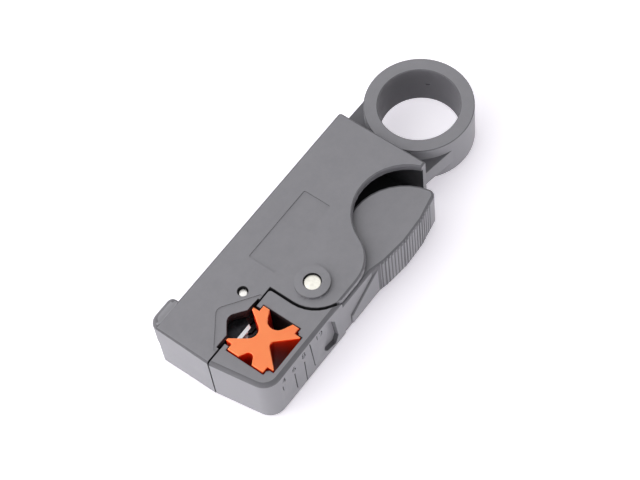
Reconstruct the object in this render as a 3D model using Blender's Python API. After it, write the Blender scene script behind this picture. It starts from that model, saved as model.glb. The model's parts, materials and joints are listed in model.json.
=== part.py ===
"""Coaxial cable stripper: a handle with a finger ring, a sprung jaw lever, a V block and three blades.

The tool lies on its back, which is Z = 0. +X runs from the jaw to the finger ring, +Y to the straight spine.
Shapes are laid out about the centre of the finger ring, and one empty carries them all, so that the finished
tool stands over the world origin.
"""

import math

import bmesh
import bpy
from mathutils import Matrix, Vector

for old in list(bpy.data.objects):
    bpy.data.objects.remove(old, do_unlink=True)

MM = 0.001

# Clearances
FIT = 0.3 * MM                    # between pieces that touch or slide on each other
CUT = 1.0 * MM                    # how far a cutter runs past the face that it opens

# Overall
THICKNESS = 17.0 * MM             # handle and jaw, front face to back face
HANDLE_LENGTH = 73.6 * MM         # jaw end to the wall beside the finger ring
SPINE_Y = 14.2 * MM               # straight edge of the handle, from the centre of the ring
TOOL_WIDTH = 32.4 * MM            # spine to the side of the jaw
PLATE_WALL = 1.9 * MM             # the two plates that the lever runs between
SPINE_WALL = 2.4 * MM
RIM_BEVEL = 0.7 * MM              # soft edges of the mouldings

# Finger ring and the web that carries it
RING_R = 14.0 * MM
RING_BORE_R = 10.5 * MM
RING_THICKNESS = 12.9 * MM
RING_BEVEL = 0.2 * MM
WEB_THICKNESS = 5.2 * MM
NECK_WIDTH = 7.0 * MM             # where the full ring runs into the end wall
END_WALL = 1.3 * MM
END_WALL_DROP = 26.2 * MM         # spine to the tip of the end wall
END_CORNER = 0.9 * MM

# Boss on the spine corner of the jaw end
BOSS_LENGTH = 9.3 * MM
BOSS_RISE = 2.9 * MM
BOSS_HEIGHT = 10.5 * MM
BOSS_SETBACK = 0.3 * MM
BOSS_CORNERS = (3.2 * MM, 1.6 * MM)   # radius at the jaw end, radius at the other
BOSS_ROUND = 1.5 * MM

# Parting line between handle and jaw
PARTING_DROP = 16.1 * MM          # spine to the parting line
PARTING_GAP = 0.4 * MM
HEEL_GAP = 0.7 * MM               # round the pivot, where the jaw swings past
HEEL_REACH = 6.9 * MM             # pivot to the upright stretch of the parting line
HEEL_RISE = 0.7 * MM              # centre of the round stretch, above the pivot
HEEL_R = 9.6 * MM
RELIEF_WIDTH = 15.8 * MM          # the handle's edge stands back over the blades
RELIEF_DEPTH = 0.66 * MM

# Pivot
PIVOT_FROM_END = 30.9 * MM
PIVOT_DROP = 23.6 * MM            # below the spine
RIVET_SHANK_R = 1.5 * MM
RIVET_HEAD_R = 2.0 * MM
RIVET_HEAD_THICKNESS = 1.0 * MM
PIVOT_BOSS_R = 4.4 * MM
PIVOT_BOSS_RISE = 0.9 * MM
LEVER_TURN_DEG = 12.0             # jaw shut to jaw open

# Thumb opening in the handle, and the thumb lobe of the lever in it
OPENING_R = 13.2 * MM
OPENING_FROM_WALL = 14.2 * MM     # its centre, from the outside of the end wall
OPENING_DROP = 30.7 * MM          # its centre, from the spine
OPENING_BLEND_R = 10.5 * MM
SHELF = 0.5 * MM                  # the plates stand back from the side of the jaw
LOBE_R = 14.85 * MM
LOBE_SHIFT = (-5.0 * MM, -2.6 * MM)   # its centre, from the centre of the opening
THUMB_R = 47.0 * MM
THUMB_RISE = 2.0 * MM             # crown of the thumb pad beyond the side of the jaw
THUMB_SHIFT = 1.0 * MM            # that crown, from the lobe's centre towards the ring
NOSE_R = 1.8 * MM
RIB_PITCH = 1.12 * MM
RIB_COUNT = 19
RIB_GROOVE_R = 0.34 * MM
RIB_END = 2.6 * MM                # last groove, from the nose
ARM_R = 6.4 * MM                  # the arm's round end, about the pivot
ARM_ROOM = 0.6 * MM               # between the arm and the handle, all the way as it turns
PAD_RISE = 0.5 * MM               # smooth pad beside the ribs, beyond the side of the jaw
PAD_BEVEL = 0.25 * MM
# the pad's slanted upper edge: distance past the pivot, drop from the front face
PAD_EDGE = ((2.4 * MM, 10.7 * MM), (14.7 * MM, 2.8 * MM))

# Jaw and the pocket of the V block
JAW_TAPER_DEG = 9.0
JAW_CORNER_R = 4.5 * MM
JAW_HEEL_R = 0.8 * MM
JAW_RIM = 1.0 * MM                # soft edges of the jaw's end and side
JAW_SKIN = 1.6 * MM               # the jaw is cored out beside the pocket, under this much plastic
JAW_CORE = 1.2 * MM               # how far the core reaches past the pocket
POCKET_FROM_END = 12.4 * MM
BLOCK_SIZE = 13.9 * MM
BLOCK_PROUD = 0.4 * MM
BLOCK_BEVEL = 0.15 * MM
BLOCK_LAND = 0.3 * MM             # flat end of an arm beside the widest notch
LEDGE_HEIGHT = 1.2 * MM
LEDGE_WIDTH = 1.2 * MM
# each V notch of the block: width of its mouth, depth, radius of its root
NOTCH_IN_USE = (9.3 * MM, 5.0 * MM, 2.4 * MM)
NOTCH_AT_JAW_END = (3.9 * MM, 2.3 * MM, 1.2 * MM)
NOTCH_AT_SIDE = (9.9 * MM, 4.8 * MM, 1.2 * MM)
NOTCH_AT_HEEL = (6.9 * MM, 3.7 * MM, 2.6 * MM)
SIDE_MARK_DEPTH = 1.2 * MM
# the slanted recess on the side of the jaw: distance from the heel, drop from the front face
SIDE_MARK = ((1.1 * MM, 1.0 * MM), (3.4 * MM, 5.0 * MM), (4.1 * MM, 12.7 * MM), (2.8 * MM, 15.0 * MM),
             (-0.5 * MM, 13.8 * MM), (-1.5 * MM, 12.1 * MM), (0.2 * MM, 5.3 * MM))

# Cable notch of the handle, and the shallow lead-in round it: mouth, depth, radius of the root
CABLE_NOTCH = (8.0 * MM, 2.65 * MM, 2.2 * MM)
LEAD_IN = (18.0 * MM, 6.0 * MM, 2.0 * MM)
LEAD_IN_DEPTH = 0.15 * MM

# Blades, their spacers and the cross pin
BLADE_PITCH = 4.2 * MM
BLADE_THICKNESS = 0.5 * MM
BLADE_HONE = 0.9 * MM
BLADE_EDGE_LAND = 0.03 * MM
BLADE_TIP_WIDTH = 4.4 * MM
BLADE_ROOT_WIDTH = 7.0 * MM
BLADE_TRAVEL = 0.8 * MM           # each way from the setting shown
BLADE_REACH = {"top": 1.0 * MM, "middle": -0.4 * MM, "bottom": -1.1 * MM}   # past the parting line
CHAMBER_LENGTH = 18.2 * MM
CHAMBER_FROM_END = 4.6 * MM
CHAMBER_DEPTH = 9.0 * MM
PIN_FROM_CHAMBER_END = 3.1 * MM
PIN_RISE = 4.9 * MM               # above the parting line
PIN_R = 1.1 * MM
PIN_RECESS = 0.8 * MM

# Depth screws and their nut plate
SCREW_R = 1.5 * MM
SCREW_RECESS = 1.0 * MM
SCREW_NECK_R = 0.7 * MM
SCREW_BUTTON_R = 1.3 * MM
SCREW_BUTTON_THICKNESS = 1.0 * MM
SCREW_CHAMFER = 0.25 * MM
SOCKET_ACROSS = 1.5 * MM
SOCKET_DEPTH = 1.6 * MM
BLADE_PRONG = 0.6 * MM            # the blade's two prongs, which sit in the groove of the screw
NUT_THICKNESS = 2.4 * MM
NUT_WIDTH = 5.6 * MM
PIN_CHAMFER = 0.2 * MM

# Torsion spring round the rivet
SPRING_R = 2.6 * MM               # centre line of the wire
SPRING_WIRE_R = 0.35 * MM
SPRING_PITCH = 1.0 * MM
SPRING_TURNS = 3.25
SPRING_LEG = 5.4 * MM             # pivot to the tip of the lever's leg
SPRING_HANDLE_LEG = 8.6 * MM      # pivot to the tip of the handle's leg
SPRING_SIDES = 16                 # straight pieces in a turn

# Label recess
LABEL_SIZE = (22.3 * MM, 8.0 * MM)
LABEL_FROM_END = 28.0 * MM
LABEL_DROP = 6.5 * MM
LABEL_DEPTH = 0.15 * MM
LABEL_CORNER_R = 0.5 * MM

ARC_STEP_DEG = 10.0
UP = Vector((0.0, 0.0, 1.0))
ALONG_Y = Vector((0.0, 1.0, 0.0))
INWARD = Vector((0.0, 1.0))       # from the parting line into the handle

# Places that follow from the sizes
HALF = THICKNESS / 2
WALL_X = -RING_R                                     # outer face of the end wall
WALL_IN_X = WALL_X - END_WALL
END_X = WALL_X - HANDLE_LENGTH                       # jaw end
SIDE_Y = SPINE_Y - TOOL_WIDTH
PLATE_Y = SIDE_Y + SHELF
TIP_Y = SPINE_Y - END_WALL_DROP
PARTING_Y = SPINE_Y - PARTING_DROP
HANDLE_EDGE_Y = PARTING_Y + PARTING_GAP / 2
JAW_EDGE_Y = PARTING_Y - PARTING_GAP / 2
PIVOT = Vector((END_X + PIVOT_FROM_END, SPINE_Y - PIVOT_DROP))
HEEL_X = PIVOT.x - HEEL_REACH
HEEL_C = Vector((HEEL_X + HEEL_R, PIVOT.y + HEEL_RISE))
OPENING_C = Vector((WALL_X - OPENING_FROM_WALL, SPINE_Y - OPENING_DROP))
LOBE_C = OPENING_C + Vector(LOBE_SHIFT)
LOBE_TOP_Y = LOBE_C.y + LOBE_R
THUMB_C = Vector((LOBE_C.x + THUMB_SHIFT, SIDE_Y - THUMB_RISE + THUMB_R))
ARM_TOP_Y = PIVOT.y + ARM_R
BLOCK_C = Vector((END_X + POCKET_FROM_END, JAW_EDGE_Y - BLOCK_SIZE / 2 + FIT / 2))
BLOCK_KEY = (BLOCK_SIZE - NOTCH_AT_SIDE[0]) / 2 - BLOCK_LAND   # square cut at each corner of the block
CHAMBER_X = (END_X + CHAMBER_FROM_END, END_X + CHAMBER_FROM_END + CHAMBER_LENGTH)
PIN_C = Vector((CHAMBER_X[1] - PIN_FROM_CHAMBER_END, PARTING_Y + PIN_RISE))
RELIEF_Y = HANDLE_EDGE_Y + RELIEF_DEPTH
CHAMBER_Y = RELIEF_Y + CHAMBER_DEPTH
PLATE_Z = (PLATE_WALL, THICKNESS - PLATE_WALL)       # the room between the plates
INNER_Z = (PLATE_WALL + FIT, THICKNESS - PLATE_WALL - FIT)
RING_Z = (HALF - RING_THICKNESS / 2, HALF + RING_THICKNESS / 2)
BLADE_Z = {"bottom": HALF - BLADE_PITCH, "middle": HALF, "top": HALF + BLADE_PITCH}
BLADE_BACK_Y = CHAMBER_Y - BLADE_TRAVEL - FIT
SPRING_TOP_Z = INNER_Z[1] - SPRING_WIRE_R - FIT      # centre line of the handle's leg
SPRING_LOW_Z = SPRING_TOP_Z - SPRING_TURNS * SPRING_PITCH
ORIGIN_SHIFT = Vector((-(END_X + RING_R) / 2, -(SPINE_Y + BOSS_RISE + SIDE_Y - THUMB_RISE) / 2, 0.0))


def circles_meet(c1, r1, c2, r2, side):
    """Where two circles cross, on the given side (+1 is left of the line from c1 to c2)."""
    line = c2 - c1
    d = line.length
    along = (d * d + r1 * r1 - r2 * r2) / (2 * d)
    across = math.sqrt(max(r1 * r1 - along * along, 0.0))
    unit = line / d
    return c1 + unit * along + Vector((-unit.y, unit.x)) * across * side


def arc(centre, radius, start, end):
    """Points on an arc from one point's direction to the other's, the short way round."""
    a0 = math.atan2(start.y - centre.y, start.x - centre.x)
    a1 = math.atan2(end.y - centre.y, end.x - centre.x)
    turn = (a1 - a0 + math.pi) % (2 * math.pi) - math.pi
    steps = max(2, math.ceil(abs(math.degrees(turn)) / ARC_STEP_DEG))
    angles = [a0 + turn * i / steps for i in range(steps + 1)]
    return [centre + Vector((math.cos(a), math.sin(a))) * radius for a in angles]


def rounded(corners):
    """A closed outline from corners (point, radius), each rounded to its radius."""
    points = []
    for i, (corner, radius) in enumerate(corners):
        if radius <= 0:
            points.append(corner)
            continue
        before = (corners[i - 1][0] - corner).normalized()
        after = (corners[(i + 1) % len(corners)][0] - corner).normalized()
        half_angle = before.angle(after) / 2
        reach = radius / math.tan(half_angle)
        centre = corner + (before + after).normalized() * radius / math.sin(half_angle)
        points += arc(centre, radius, corner + before * reach, corner + after * reach)
    return points


def circle(centre, radius, count=32):
    angles = [2 * math.pi * i / count for i in range(count)]
    return [centre + Vector((math.cos(a), math.sin(a))) * radius for a in angles]


def box_outline(x0, x1, y0, y1):
    return [Vector((x0, y0)), Vector((x1, y0)), Vector((x1, y1)), Vector((x0, y1))]


def notch_corners(size, mouth, inward):
    """Mouth, root and mouth corners of a V notch, for rounded(); inward is the unit way to its root."""
    width, depth, root_r = size
    along = Vector((-inward.y, inward.x))
    half_angle = math.atan2(width / 2, depth)
    tip = depth
    for _ in range(20):
        tip = depth + root_r * (1 / math.sin(half_angle) - 1)
        half_angle = math.atan2(width / 2, tip)
    side = along * width / 2
    return [(mouth + side, 0.0), (mouth + inward * tip, root_r), (mouth - side, 0.0)]


def notch_outline(size, mouth, inward, run_out):
    """A V notch's outline for a cutter, run past its mouth."""
    corners = notch_corners(size, mouth, inward)
    first = (corners[0][0] - inward * run_out, 0.0)
    last = (corners[2][0] - inward * run_out, 0.0)
    return rounded([first] + corners + [last])


def material(name, colour, roughness, metallic=0.0):
    made = bpy.data.materials.new(name)
    made.use_nodes = True
    shader = made.node_tree.nodes["Principled BSDF"]
    shader.inputs["Base Color"].default_value = (*colour, 1.0)
    shader.inputs["Roughness"].default_value = roughness
    shader.inputs["Metallic"].default_value = metallic
    made.diffuse_color = (*colour, 1.0)
    return made


def finish(name, mesh_data, look=None, smooth_deg=30.0):
    """Turn a bmesh into a named object under the tool's empty."""
    bmesh.ops.recalc_face_normals(mesh_data, faces=mesh_data.faces)
    mesh = bpy.data.meshes.new(name)
    mesh_data.to_mesh(mesh)
    mesh_data.free()
    made = bpy.data.objects.new(name, mesh)
    bpy.context.scene.collection.objects.link(made)
    made.parent = TOOL
    if look:
        mesh.materials.append(look)
    mesh.shade_smooth()
    mesh.set_sharp_from_angle(angle=math.radians(smooth_deg))
    return made


def add_prism(mesh_data, outline, z0, z1, bevel=0.0, bevel_where=None, segments=2):
    """Extrude an outline from z0 to z1 into the bmesh, with its top and bottom rims bevelled where asked."""
    verts = [mesh_data.verts.new((p.x, p.y, z0)) for p in outline]
    floor = mesh_data.faces.new(verts)
    raised = bmesh.ops.extrude_face_region(mesh_data, geom=[floor])["geom"]
    top = [v for v in raised if isinstance(v, bmesh.types.BMVert)]
    bmesh.ops.translate(mesh_data, verts=top, vec=(0, 0, z1 - z0))
    if bevel <= 0:
        return
    level = [e for e in mesh_data.edges if abs(e.verts[0].co.z - e.verts[1].co.z) < bevel / 10]
    rims = [e for e in level if bevel_where is None or bevel_where((e.verts[0].co + e.verts[1].co) / 2)]
    bmesh.ops.bevel(mesh_data, geom=rims, offset=bevel, segments=segments, profile=0.5, affect="EDGES",
                    material=-1, clamp_overlap=True)


def prism(name, outline, z0, z1, look=None, bevel=0.0, bevel_where=None, segments=2):
    mesh_data = bmesh.new()
    add_prism(mesh_data, outline, z0, z1, bevel, bevel_where, segments)
    return finish(name, mesh_data, look)


def rod(name, centre, axis, start, end, radius, look=None, count=32):
    """A round rod about a line through centre along axis, from start to end along it."""
    mesh_data = bmesh.new()
    turn = UP.rotation_difference(axis).to_matrix().to_4x4()
    place = Matrix.Translation(centre + axis * (start + end) / 2) @ turn
    bmesh.ops.create_cone(mesh_data, cap_ends=True, segments=count, radius1=radius, radius2=radius,
                          depth=end - start, matrix=place)
    return finish(name, mesh_data, look)


def turned(name, centre, axis, profile, look=None, count=32):
    """A solid turned about an axis from (radius, place along the axis) pairs, with flat ends."""
    mesh_data = bmesh.new()
    place = Matrix.Translation(centre) @ UP.rotation_difference(axis).to_matrix().to_4x4()
    rings = []
    for radius, height in profile:
        ring = [place @ Vector((p.x, p.y, height)) for p in circle(Vector((0.0, 0.0)), radius, count)]
        rings.append([mesh_data.verts.new(p) for p in ring])
    for low, high in zip(rings, rings[1:]):
        for i in range(count):
            mesh_data.faces.new((low[i], low[(i + 1) % count], high[(i + 1) % count], high[i]))
    mesh_data.faces.new(rings[0])
    mesh_data.faces.new(rings[-1])
    return finish(name, mesh_data, look)


def combine(target, helper, operation):
    """Join a helper solid to a piece, or cut it away, and hide the helper."""
    change = target.modifiers.new(helper.name, "BOOLEAN")
    change.operation = operation
    change.object = helper
    change.solver = "EXACT"
    helper.hide_render = True
    helper.display_type = "WIRE"


def cut(target, cutter):
    combine(target, cutter, "DIFFERENCE")


def join(target, helper):
    combine(target, helper, "UNION")


def carry(piece, origin, parent=None):
    """Give a piece its own origin on its joint, with its mesh left where it is."""
    piece.data.transform(Matrix.Translation(-origin))
    piece.parent = parent or TOOL
    piece.location = origin - (parent.location if parent else Vector((0.0, 0.0, 0.0)))


def heel_arc_end(centre, radius, y):
    """Where the round stretch of the parting line comes out at the tool's side."""
    return Vector((centre.x - math.sqrt(radius ** 2 - (centre.y - y) ** 2), y))


def handle_outline():
    """The plates' outline, from the jaw end along the parting line, round the thumb opening and back."""
    relief_x = (BLOCK_C.x - RELIEF_WIDTH / 2, BLOCK_C.x + RELIEF_WIDTH / 2)
    heel_x = HEEL_X + HEEL_GAP / 2
    heel_r = HEEL_R - HEEL_GAP / 2
    heel_end = heel_arc_end(HEEL_C, heel_r, PLATE_Y)
    room = OPENING_C.x - heel_end.x - CUT
    rise = OPENING_C.y - PLATE_Y
    widest = (room ** 2 + rise ** 2 - OPENING_R ** 2) / (2 * (OPENING_R + rise))
    blend_r = min(OPENING_BLEND_R, widest)
    blend_y = PLATE_Y + blend_r
    reach = OPENING_R + blend_r
    blend_c = Vector((OPENING_C.x - math.sqrt(reach ** 2 - (OPENING_C.y - blend_y) ** 2), blend_y))
    meeting = blend_c + (OPENING_C - blend_c).normalized() * blend_r
    opening_end = Vector((OPENING_C.x + math.sqrt(OPENING_R ** 2 - (TIP_Y - OPENING_C.y) ** 2), TIP_Y))
    points = [Vector((END_X, HANDLE_EDGE_Y)),
              Vector((relief_x[0], HANDLE_EDGE_Y)), Vector((relief_x[0], RELIEF_Y)),
              Vector((relief_x[1], RELIEF_Y)), Vector((relief_x[1], HANDLE_EDGE_Y)),
              Vector((heel_x, HANDLE_EDGE_Y))]
    points += arc(HEEL_C, heel_r, Vector((heel_x, HEEL_C.y)), heel_end)
    points += arc(blend_c, blend_r, Vector((blend_c.x, PLATE_Y)), meeting)
    points += arc(OPENING_C, OPENING_R, meeting, opening_end)[1:]
    points += rounded([(Vector((WALL_X, TIP_Y)), 0.0), (Vector((WALL_X, SPINE_Y)), END_CORNER),
                       (Vector((END_X, SPINE_Y)), 0.0), (Vector((END_X, HANDLE_EDGE_Y)), 0.0)])[:-1]
    return points


def handle_rim_is_soft(at):
    """The handle's edges are softened, but not across the jaw end or along the parting line."""
    across_end = at.x < END_X + FIT
    inside_end = at.x > END_X + RIM_BEVEL
    on_straight = at.x < HEEL_X + HEEL_GAP and at.y < RELIEF_Y + FIT
    on_heel = at.x < HEEL_C.x and at.y > PLATE_Y + FIT / 2 and at.y < HANDLE_EDGE_Y
    on_heel = on_heel and (Vector((at.x, at.y)) - HEEL_C).length < HEEL_R
    return not (across_end or (inside_end and (on_straight or on_heel)))


def boss_outline():
    left = END_X + BOSS_SETBACK
    right = END_X + BOSS_LENGTH
    top = SPINE_Y + BOSS_RISE
    low = SPINE_Y - 2 * BOSS_RISE
    return rounded([(Vector((left, low)), 0.0), (Vector((right, low)), 0.0),
                    (Vector((right, top)), BOSS_CORNERS[1]), (Vector((left, top)), BOSS_CORNERS[0])])


def web_outline():
    """The web runs from the end wall to where its edges meet the ring."""
    ring_c = Vector((0.0, 0.0))
    tip = Vector((WALL_X, TIP_Y + FIT))
    middle = tip / 2
    near = circles_meet(ring_c, RING_R - RING_BEVEL, middle, middle.length, 1)
    far = RING_R - RING_BEVEL
    inside = (WALL_X + WALL_IN_X) / 2
    return [Vector((inside, tip.y)), tip, near, Vector((0.0, -RING_BORE_R)), Vector((0.0, RING_BORE_R)),
            Vector((0.0, far)), Vector((inside, far))]


def ring_bore():
    """The bore's cutter, flared at both rims by the ring's bevel."""
    low, high = RING_Z
    flare = RING_BORE_R + RING_BEVEL
    profile = [(flare, low - CUT), (flare, low), (RING_BORE_R, low + RING_BEVEL),
               (RING_BORE_R, high - RING_BEVEL), (flare, high), (flare, high + CUT)]
    return turned("ring_bore", Vector((0.0, 0.0, 0.0)), UP, profile, count=64)


def cavity_outline():
    """The room that the lever swings in: open towards the jaw and the thumb, closed by spine and end wall."""
    low = SIDE_Y - THUMB_RISE - CUT
    arm_room = ARM_TOP_Y + ARM_ROOM
    spine_in = SPINE_Y - SPINE_WALL
    turn_x = PIVOT.x + SPRING_HANDLE_LEG + CUT
    return rounded([(Vector((HEEL_X - CUT, low)), 0.0), (Vector((WALL_IN_X, low)), 0.0),
                    (Vector((WALL_IN_X, spine_in)), RIM_BEVEL), (Vector((turn_x, spine_in)), RIM_BEVEL),
                    (Vector((turn_x, arm_room)), 0.0), (Vector((HEEL_X - CUT, arm_room)), 0.0)])


def nut_outline(room, mouth):
    """The nut plate behind the blades, with some room round it and an open mouth."""
    near = CHAMBER_Y + FIT
    return box_outline(BLOCK_C.x - NUT_WIDTH / 2 - room, BLOCK_C.x + NUT_WIDTH / 2 + room,
                       near - room - mouth, near + NUT_THICKNESS + room)


def label_outline():
    left = END_X + LABEL_FROM_END
    top = SPINE_Y - LABEL_DROP
    corners = box_outline(left, left + LABEL_SIZE[0], top - LABEL_SIZE[1], top)
    return rounded([(corner, LABEL_CORNER_R) for corner in corners])


def build_handle(grey):
    body = prism("main_body", handle_outline(), 0.0, THICKNESS, grey, RIM_BEVEL, handle_rim_is_soft)
    boss_z = (THICKNESS - BOSS_HEIGHT, THICKNESS - FIT / 10)
    join(body, prism("boss_form", boss_outline(), *boss_z, bevel=BOSS_ROUND, segments=3))
    inside = (WALL_X + WALL_IN_X) / 2
    neck = box_outline(inside, -RING_BORE_R, -NECK_WIDTH / 2, NECK_WIDTH / 2)
    join(body, prism("neck_form", neck, *RING_Z))
    join(body, prism("web_form", web_outline(), HALF - WEB_THICKNESS / 2, HALF + WEB_THICKNESS / 2))
    join(body, prism("ring_form", circle(Vector((0.0, 0.0)), RING_R, 64), *RING_Z, bevel=RING_BEVEL))
    front = THICKNESS + PIVOT_BOSS_RISE
    join(body, rod("pivot_boss_form", PIVOT.to_3d(), UP, THICKNESS - CUT, front, PIVOT_BOSS_R, count=48))
    cut(body, ring_bore())
    cut(body, prism("lever_cavity", cavity_outline(), *PLATE_Z))
    cut(body, prism("blade_chamber", box_outline(*CHAMBER_X, RELIEF_Y - CUT, CHAMBER_Y), *PLATE_Z))
    cut(body, prism("nut_pocket", nut_outline(FIT, CUT), *PLATE_Z))
    for place, z in BLADE_Z.items():
        at = Vector((BLOCK_C.x, 0.0, z))
        cut(body, rod("screw_bore_" + place, at, ALONG_Y, CHAMBER_Y, SPINE_Y + CUT, SCREW_R + FIT, count=24))
    mouth = Vector((BLOCK_C.x, RELIEF_Y))
    cut(body, prism("cable_notch", notch_outline(CABLE_NOTCH, mouth, INWARD, CUT), -CUT, THICKNESS + CUT))
    cut(body, prism("lead_in", notch_outline(LEAD_IN, mouth, INWARD, CUT), THICKNESS - LEAD_IN_DEPTH,
                    THICKNESS + CUT))
    cut(body, prism("label_recess", label_outline(), THICKNESS - LABEL_DEPTH, THICKNESS + CUT))
    cut(body, rod("pin_hole", PIN_C.to_3d(), UP, -CUT, THICKNESS + CUT, PIN_R + FIT))
    cut(body, rod("rivet_hole", PIVOT.to_3d(), UP, -CUT, front + CUT, RIVET_SHANK_R + FIT))
    seat = RIVET_HEAD_THICKNESS + 2 * FIT
    cut(body, rod("front_counterbore", PIVOT.to_3d(), UP, front - seat, front + CUT, RIVET_HEAD_R + FIT))
    cut(body, rod("back_counterbore", PIVOT.to_3d(), UP, -CUT, seat, RIVET_HEAD_R + FIT))
    half = SPRING_WIRE_R + FIT
    cut(body, prism("leg_slot", box_outline(PIVOT.x - half, PIVOT.x + half, PIVOT.y,
                                            PIVOT.y + SPRING_HANDLE_LEG + FIT),
                    SPRING_TOP_Z - half, PLATE_Z[1]))


def jaw_blank():
    """The full-thickness jaw before its heel is swept out: a leaning end and one large outer corner."""
    lean = math.tan(math.radians(JAW_TAPER_DEG))
    low_left = Vector((END_X + lean * (JAW_EDGE_Y - SIDE_Y), SIDE_Y))
    return rounded([(Vector((HEEL_C.x, JAW_EDGE_Y)), 0.0), (Vector((END_X, JAW_EDGE_Y)), 0.0),
                    (low_left, JAW_CORNER_R), (Vector((HEEL_C.x, SIDE_Y)), 0.0)])


def jaw_rim_is_soft(at):
    """Only the jaw's end and side edges are softened."""
    on_end = at.x < END_X + 2 * JAW_CORNER_R and at.y < JAW_EDGE_Y - FIT
    on_side = at.y < SIDE_Y + FIT / 2
    return on_end or on_side


def heel_sweep():
    """The room beside the jaw for the handle's round heel: up past a small corner, down round the heel."""
    heel_x = HEEL_X - HEEL_GAP / 2
    heel_r = HEEL_R + HEEL_GAP / 2
    corner_c = Vector((heel_x - JAW_HEEL_R, JAW_EDGE_Y - JAW_HEEL_R))
    low = Vector((HEEL_C.x, HEEL_C.y - heel_r))
    top = JAW_EDGE_Y + CUT
    points = [Vector((corner_c.x, top))]
    points += arc(corner_c, JAW_HEEL_R, Vector((corner_c.x, JAW_EDGE_Y)), Vector((heel_x, corner_c.y)))
    points += arc(HEEL_C, heel_r, Vector((heel_x, HEEL_C.y)), low)
    return points + [Vector((low.x + CUT, low.y)), Vector((low.x + CUT, top))]


def nose_centre():
    """The small round that joins the thumb pad to the lobe."""
    tips = [circles_meet(THUMB_C, THUMB_R - NOSE_R, LOBE_C, LOBE_R - NOSE_R, side) for side in (1, -1)]
    return max(tips, key=lambda tip: tip.x)


def arm_outline():
    """The arm between the plates: round about the pivot, then sloping so that it stays clear as it turns."""
    inside_jaw = HEEL_X - 2 * CUT
    slope = math.radians(LEVER_TURN_DEG)
    leaving = PIVOT + Vector((math.sin(slope), math.cos(slope))) * ARM_R
    end_y = leaving.y - (LOBE_C.x - leaving.x) * math.tan(slope)
    points = [Vector((inside_jaw, SIDE_Y)), Vector((LOBE_C.x, SIDE_Y)), Vector((LOBE_C.x, end_y))]
    points += arc(PIVOT, ARM_R, leaving, Vector((PIVOT.x, ARM_TOP_Y)))
    return points + [Vector((inside_jaw, ARM_TOP_Y))]


def arm_rim_is_soft(at):
    """Only the arm's outer side is softened."""
    return at.y < SIDE_Y + FIT / 2


def lobe_outline():
    """The thumb lobe: the thumb's wide arc below, the lobe's own above, a small round at the nose."""
    nose_c = nose_centre()
    nose_low = THUMB_C + (nose_c - THUMB_C).normalized() * THUMB_R
    nose_high = LOBE_C + (nose_c - LOBE_C).normalized() * LOBE_R
    tips = [circles_meet(THUMB_C, THUMB_R, LOBE_C, LOBE_R, side) for side in (1, -1)]
    heel = min(tips, key=lambda tip: tip.x)
    crown = Vector((LOBE_C.x, LOBE_C.y + LOBE_R))
    points = arc(THUMB_C, THUMB_R, heel, nose_low)
    points += arc(nose_c, NOSE_R, nose_low, nose_high)[1:-1]
    points += arc(LOBE_C, LOBE_R, nose_high, crown)
    points += arc(LOBE_C, LOBE_R, crown, heel)[1:-1]
    return points


def pad_outline():
    """The smooth pad beside the ribs, in X and Z, with its slanted upper edge."""
    (near_x, near_drop), (far_x, far_drop) = PAD_EDGE
    low = INNER_Z[0] + FIT
    near_x, far_x = PIVOT.x + near_x, PIVOT.x + far_x
    return [(near_x, low), (far_x, low), (far_x, THICKNESS - far_drop), (near_x, THICKNESS - near_drop)]


def rib_grooves():
    """Upright grooves along the thumb's crown, as one cutter."""
    mesh_data = bmesh.new()
    nose_c = nose_centre()
    last = math.atan2(nose_c.y - THUMB_C.y, nose_c.x - THUMB_C.x) - RIB_END / THUMB_R
    for i in range(RIB_COUNT):
        angle = last - i * RIB_PITCH / THUMB_R
        at = THUMB_C + Vector((math.cos(angle), math.sin(angle))) * THUMB_R
        place = Matrix.Translation((at.x, at.y, HALF)) @ Matrix.Rotation(angle, 4, "Z")
        bmesh.ops.create_cone(mesh_data, cap_ends=True, segments=6, radius1=RIB_GROOVE_R,
                              radius2=RIB_GROOVE_R, depth=THICKNESS, matrix=place)
    return finish("rib_grooves", mesh_data)


def side_form(name, corners, y0, y1, bevel=0.0):
    """A solid with an outline in X and Z, from y0 to y1, with the rim at y0 bevelled where asked."""
    mesh_data = bmesh.new()
    depth = y1 - y0
    add_prism(mesh_data, [Vector(c) for c in corners], 0.0, depth, bevel, lambda at: at.z > depth / 2, 1)
    place = Matrix.Translation((0.0, y1, 0.0)) @ Matrix.Rotation(math.radians(90), 4, "X")
    bmesh.ops.transform(mesh_data, matrix=place, verts=mesh_data.verts)
    return finish(name, mesh_data)


def wedge(reach, half_width, angle_from, angle_to):
    """A fan about the pivot that clears a spring leg as the lever turns past it."""
    def edge(angle, side):
        way = Vector((math.cos(angle), math.sin(angle)))
        across = Vector((-way.y, way.x)) * half_width * side
        return [PIVOT + way * reach + across, PIVOT + across]
    low_out, low_in = edge(angle_from, -1)
    high_out, high_in = edge(angle_to, 1)
    return [low_in, low_out, high_out, high_in]


def pocket_outline():
    """The V block's square with its corners left as keys, with clearance, open to the parting line."""
    half = BLOCK_SIZE / 2
    out, key = half + FIT, half - BLOCK_KEY + FIT
    top = JAW_EDGE_Y + CUT - BLOCK_C.y
    corners = [(-out, -key), (-key, -key), (-key, -out), (key, -out), (key, -key), (out, -key),
               (out, key), (key, key), (key, top), (-key, top), (-key, key), (-out, key)]
    return [BLOCK_C + Vector(corner) for corner in corners]


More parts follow.
